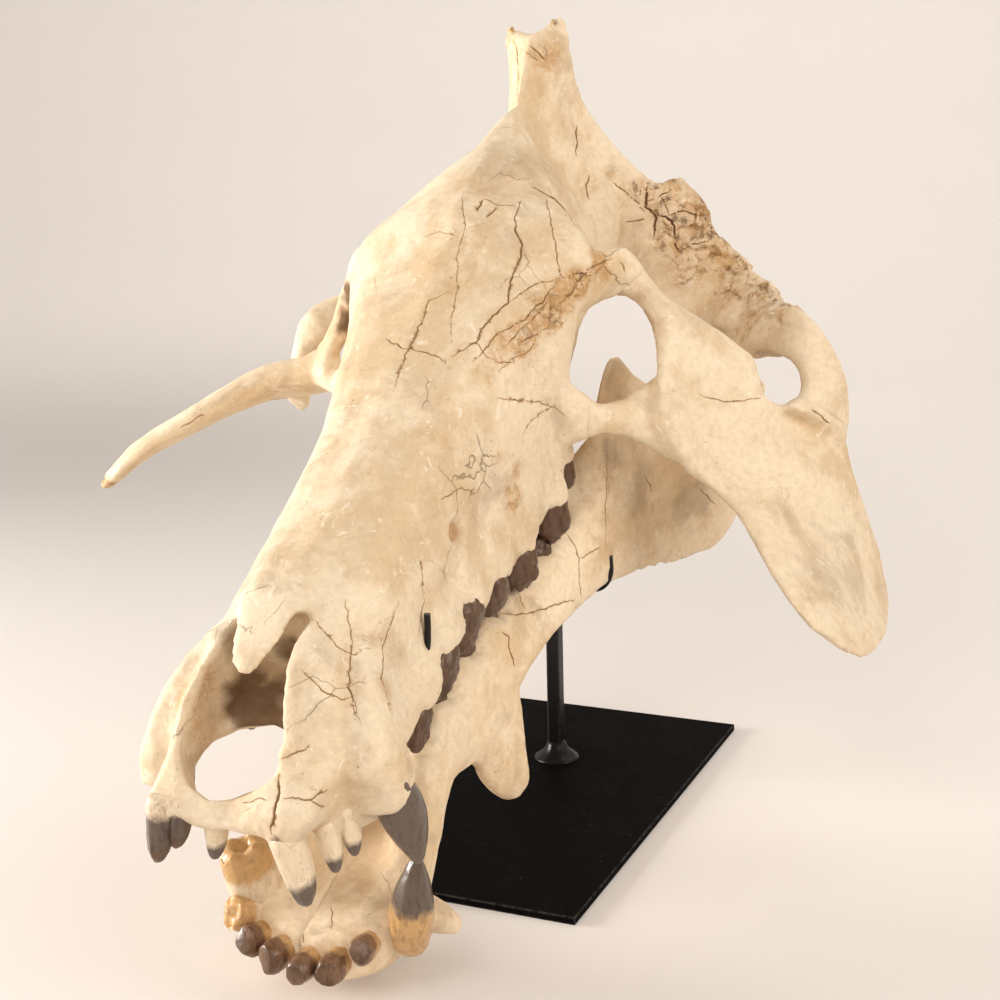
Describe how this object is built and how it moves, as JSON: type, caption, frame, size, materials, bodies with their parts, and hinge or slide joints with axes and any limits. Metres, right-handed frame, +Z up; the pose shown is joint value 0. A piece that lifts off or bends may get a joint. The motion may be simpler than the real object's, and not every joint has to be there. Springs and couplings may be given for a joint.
{
  "type": "entelodont skull on a museum stand",
  "caption": "Large entelodont skull with broad cheek flanges and its lower jaw, held on a plate, post and bent rods of black steel.",
  "frame": {"origin": "centre of the post at the underside of the base plate, on the floor", "axes": "+Z up, snout towards -Y, the animal's left towards +X"},
  "size_m": [0.6788, 0.712, 0.6882],
  "materials": {
    "bone": "matt",
    "black_steel": "satin"
  },
  "bodies": {
    "root": {"cranium": "bone", "jugal_left": "bone", "jugal_right": "bone", "dentary_left": "bone", "dentary_right": "bone", "stand_base": "black_steel", "stand_post": "black_steel", "stand_skull_arms": "black_steel", "stand_jaw_front_arm": "black_steel", "stand_jaw_rear_arm": "black_steel"}
  },
  "joints": []
}
